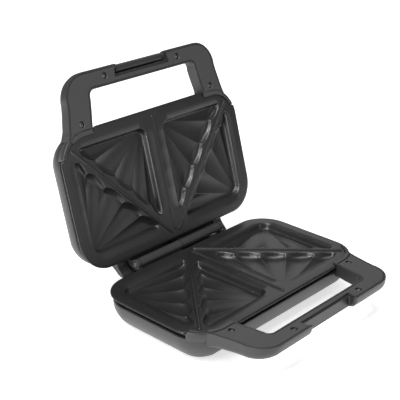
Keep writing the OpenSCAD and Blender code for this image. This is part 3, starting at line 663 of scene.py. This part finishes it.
# ------------------------------------------------------------------ handles
def handle_outline():
    """The loop of one handle half: outer run, then the finger hole's run. Columns: x, y, rounding radius below."""
    o = spline([(105.7, -58.8), (105.2, -60.6), (104.5, -63.6), (103.3, -68), (101.5, -77), (99.9, -85), (99.1, -91.0)], 2.0)
    side = np.c_[o, np.interp(-o[:, 1], [58.8, 62, 68, 91], [1.0, 2.4, 5.0, 6.5])]
    c = arc(74.6, -92.9, 24.4, 3, -90, 26)
    corner = np.c_[c, np.linspace(6.5, 11.5, len(c))]
    front = np.c_[np.linspace(74.6, 0, 40)[1:], np.full(39, -HANDLE_Y), np.full(39, 11.5)]
    outer = np.vstack([side[:-1], corner, front])
    i1 = np.c_[np.linspace(0, 64.6, 34)[:-1], np.full(33, HOLE_Y), np.full(33, 3.0)]
    c = arc(64.6, HOLE_Y + 6, 6, -90, 8, 10)
    i2 = np.c_[c, np.full(len(c), 3.0)]
    i3 = spline([tuple(c[-1]), (72.4, -81), (74.2, -72), (75.6, -64.2)], 2.0)[1:]
    i3 = np.c_[i3, np.full(len(i3), 2.0)]
    c = arc(HW - R, -(HD - R), R + 2.1, -90, -60, 8)
    root = np.c_[c, np.full(len(c), 0.01)]
    inner = np.vstack([i1, i2, i3, root])
    m = lambda a: np.c_[-a[::-1, 0], a[::-1, 1:]]
    return np.vstack([outer, m(outer)[1:], m(inner), inner[1:]]), len(outer)


def normals2(loop):
    d = np.roll(loop[:, :2], -1, 0) - np.roll(loop[:, :2], 1, 0)
    d /= np.linalg.norm(d, axis=1)[:, None]
    return np.c_[-d[:, 1], d[:, 0]]


HL, HN = handle_outline()
SEAM = 2.0


def handle_mesh():
    nor = normals2(HL)
    r = HL[:, 2]
    bottom = UP - THICK
    loops = []
    def ring(inset, z):
        z = np.broadcast_to(z, r.shape)
        inset = np.broadcast_to(inset, r.shape)
        loops.append(np.c_[HL[:, :2] - nor * inset[:, None], z])
    ring(r, bottom)
    for t in np.linspace(75, 0, 6):
        t = math.radians(t)
        ring(r * (1 - math.cos(t)), bottom + r * (1 - math.sin(t)))
    ring(0.0, UP - 0.55)
    ring(0.16, UP - 0.17)
    ring(0.55, UP)
    ring(SEAM - 0.3, UP)
    ring(SEAM - 0.12, UP - 0.12)
    ring(SEAM - 0.02, UP - 0.4)
    ring(SEAM, UP - 2.2)
    return loft(loops, fill=True)


def notch_cutter(half, g=0.0, flare=2.6):
    """Mouth of the latch notch: flat back wall, eased corners, ends that open downward."""
    def plan(k):
        w0, w1 = (NW + 0.9 + g) * k, (NW - 1.4 + g) * k
        y0 = NOTCH_Y + g
        a = [(w0 - 1.0, y0), (w0 - 0.3, y0 - 0.3), (w0, y0 - 1.0), (w1 + 0.4, -HANDLE_Y + flare + 0.8)]
        f = [(w1 + flare * (1 - math.cos(t)), -HANDLE_Y + flare * (1 - math.sin(t)) - 0.02) for t in np.linspace(0, np.pi / 2, 7)]
        f.append((w1 + flare + 2, -HANDLE_Y - 6))
        right = a + f
        left = [(-x, y) for x, y in right[::-1]]
        return np.array(right + left)
    loops = []
    for z, k in ((UP + 3, 1.0), (UP - 1.0, 1.0), (UP - THICK - 3, 1.09)):
        p = plan(k)
        loops.append(np.c_[p, np.full(len(p), z)])
    v, f = loft(loops, fill=True)
    return cutter(v, f, half)


def cover_mesh(g=0.25):
    """The cover's own slab, inset from the handle's edge, with its root run on to the plate."""
    nor = normals2(HL)
    n_out = 2 * HN - 1
    inner_n = (len(HL) - n_out + 1) // 2
    def plan(inset):
        P = HL[:, :2] - nor * (SEAM + inset)
        out = P[:n_out]
        rest = P[n_out:]
        m = (len(rest) + 1) // 2
        left, right = rest[:m], rest[m - 1:]
        # take away the root run (9 points at each end) and put in the one that hugs the plate
        lr = 9
        keep = rest[lr:len(rest) - lr]
        ro = R - 0.85 - inset
        c = arc(HW - R, -(HD - R), ro, -90, -58, 12)
        cr = np.vstack([[76.0 + inset, -(HD - R) - ro], c])
        cl = np.c_[-cr[::-1, 0], cr[::-1, 1]]
        hole = keep[(keep[:, 1] < -(HD - R) - ro - 2.2)]
        return np.vstack([out, cl, hole, cr])
    loops = []
    for i, z in ((g, UP - 2.1), (g, UP - 0.42), (g + 0.1, UP - 0.12), (g + 0.38, UP)):
        p = plan(i)
        loops.append(np.c_[p, np.full(len(p), z)])
    return loft(loops, fill=True)


SCREWS = ((-87.2, -71), (87.2, -71), (-48.6, -108.8), (48.6, -108.8))


def hole_cutters(half):
    out = []
    for x, y in SCREWS:
        v, f = turned([(1.8, UP - 4), (1.8, UP - 2.4), (3.2, UP - 2.4), (3.2, UP - 0.3), (3.5, UP + 0.1), (3.5, UP + 2)], 40, "z", (x, y, 0))
        out.append(cutter(v, f, half))
    return out


HANDLE = handle_mesh()
COVER = cover_mesh()
for half in ("base", "lid"):
    piece(half + "_handle_frame", *HANDLE, half, MAT["handle"], slot="handle", replaces=(half + "_handle",), recalc=True,
          cutters=[notch_cutter(half)])
    piece(half + "_handle_top", *COVER, half, MAT["cover"], slot="handle_cover", replaces=(half + "_handle_cover",),
          recalc=True, cutters=[notch_cutter(half, SEAM + 0.25, 1.0)] + hole_cutters(half))


def screw_mesh(x, y):
    """A pan head, sunk in its hole, and its shank; the cross recess is cut into it afterwards."""
    z = UP - 2.0
    head = turned([(0.0, z - 7.3), (0.9, z - 7.3), (1.45, z - 6.6), (1.45, z), (2.3, z), (2.4, z + 0.15), (2.36, z + 0.4), (2.15, z + 0.66), (1.7, z + 0.8), (0.0, z + 0.88)], 40, "z", (x, y, 0))
    return head


def cross_cutters(half):
    out = []
    for x, y in SCREWS:
        for a in (20, 110):
            c, s = math.cos(math.radians(a)), math.sin(math.radians(a))
            loops = []
            for z, k in ((UP - 1.65, 0.6), (UP - 0.3, 1.15)):
                q = [(-1.55 * k, -0.36 * k), (1.55 * k, -0.36 * k), (1.55 * k, 0.36 * k), (-1.55 * k, 0.36 * k)]
                loops.append(np.array([(x + c * u - s * v, y + s * u + c * v, z) for u, v in q]))
            v, f = loft(loops)
            out.append(cutter(v, f, half))
    return out


for half in ("base", "lid"):
    piece(half + "_cover_screws", *merge(*[screw_mesh(x, y) for x, y in SCREWS]), half, MAT["screw"], slot="dark_screw",
          replaces=(half + "_handle_screws",), recalc=True, cutters=cross_cutters(half))


# ------------------------------------------------------------------ latch
def latch_place(p):
    """From the clip's own frame (latched, arm pointing -z in the half) to rest in the lid's half frame."""
    q = np.array(p, float).reshape(-1, 3).copy()
    c, s = math.cos(SWING), math.sin(SWING)
    y, z = q[:, 1].copy(), q[:, 2].copy()
    q[:, 1], q[:, 2] = c * y - s * z + LATCH_Y, s * y + c * z - LATCH_Z
    return q


w = NW - 2.5
barrel = turned([(1.6, -w), (3.4, -w), (3.85, -w + 0.25), (4.0, -w + 0.7), (4.0, w - 0.7), (3.85, w - 0.25), (3.4, w), (1.6, w)], 56, "x", closed=True)
arm = spline([(1.7, 0.0), (1.62, 8), (1.6, 20.6)], 2.0)
hook = np.array([(1.6, 21.2), (1.75, 23.8), (2.2, 24.4), (3.0, 24.75), (5.2, 24.6), (6.8, 24.1), (7.2, 23.6), (7.1, 23.2), (4.6, 22.15), (4.1, 21.7), (3.95, 20.9)])
clip_poly = np.vstack([arm, hook, [(3.95, 8.0), (3.95, 1.0)], [(3.0, 0.0)]])
clip = prism_x(clip_poly, -w, w, 0.5)
v, f = merge(barrel, clip)
piece("latch_bar", latch_place(v), f, "lid", MAT["latch"], body="latch", slot="handle", replaces=("latch_clip",), recalc=True)


# ------------------------------------------------------------------ stage
def plain(name, color, rough):
    m = bpy.data.materials.new(name)
    m.use_nodes = True
    b = m.node_tree.nodes["Principled BSDF"]
    b.inputs["Base Color"].default_value = (*color, 1)
    b.inputs["Roughness"].default_value = rough
    return m


me = bpy.data.meshes.new("floor")
ring = [(0.6 + 2.6 * math.cos(t), 1.85 + 2.6 * math.sin(t), 0) for t in np.linspace(0, 2 * math.pi, 97)[:-1]]
me.from_pydata(ring, [], [tuple(range(96))])
floor = bpy.data.objects.new("floor", me)
white = plain("floor_white", (0.9, 0.9, 0.9), 0.9)
white.node_tree.nodes["Principled BSDF"].inputs["Emission Color"].default_value = (1, 1, 1, 1)
white.node_tree.nodes["Principled BSDF"].inputs["Emission Strength"].default_value = 0.62
me.materials.append(white)
bpy.context.scene.collection.objects.link(floor)

world = bpy.data.worlds.new("studio")
bpy.context.scene.world = world
world.use_nodes = True
world.node_tree.nodes["Background"].inputs["Color"].default_value = (1, 1, 1, 1)
world.node_tree.nodes["Background"].inputs["Strength"].default_value = 0.22


def area(name, loc, target, size, power, size_y=None):
    l = bpy.data.lights.new(name, "AREA")
    l.energy, l.size = power, size
    if size_y:
        l.shape, l.size_y = "RECTANGLE", size_y
    o = bpy.data.objects.new(name, l)
    o.location = loc
    d = Vector(target) - Vector(loc)
    o.rotation_euler = d.to_track_quat("-Z", "Y").to_euler()
    bpy.context.scene.collection.objects.link(o)


area("key", (-1.05, -0.1, 0.95), (0, 0, 0.06), 0.7, 12.0, 0.7)
area("spark", (-0.62, 0.13, 1.25), (0.05, 0.06, 0.13), 0.26, 8.0)
area("side", (-1.3, -0.32, 0.1), (0, 0, 0.12), 0.35, 5.0, 0.3)
area("top", (-0.1, -0.1, 1.5), (0, 0, 0.05), 0.9, 11.5)
area("sheen", (0.95, 0.95, 0.75), (0, -0.1, 0.05), 0.9, 1.3, 0.5)
area("fill", (0.5, -1.3, 0.5), (0, 0, 0.1), 0.8, 2.0)

# ------------------------------------------------------------------ camera
S, AZ, EL, ROLL, K, TX, TY = 1.0410273743827183, -47.6197890072769, 23.682400068579895, 0.675605911551198, 1.0701874432164717, -33.784478084480895, 66.73519060270337
a, e, ro = math.radians(AZ), math.radians(EL), math.radians(ROLL)
bk = np.array([math.sin(a) * math.cos(e), -math.cos(a) * math.cos(e), math.sin(e)])
ri = np.array([math.cos(a), math.sin(a), 0.0])
up = np.cross(bk, ri)
R2 = math.cos(ro) * ri + math.sin(ro) * up
U2 = -math.sin(ro) * ri + math.cos(ro) * up
dist = 1000.0 / K
C = bk * dist + R2 * TX + U2 * TY + np.array([0, ROW_Y, FACE_H])
cam = bpy.data.cameras.new("camera")
cam.sensor_width = 36.0
cam.lens = S * dist * 36.0 / 400.0
cam.clip_start, cam.clip_end = 0.05, 50
co = bpy.data.objects.new("camera", cam)
co.matrix_world = Matrix(((R2[0], U2[0], bk[0], C[0] / 1000), (R2[1], U2[1], bk[1], C[1] / 1000), (R2[2], U2[2], bk[2], C[2] / 1000), (0, 0, 0, 1)))
bpy.context.scene.collection.objects.link(co)
bpy.context.scene.camera = co
bpy.context.scene.view_settings.view_transform = "Standard"
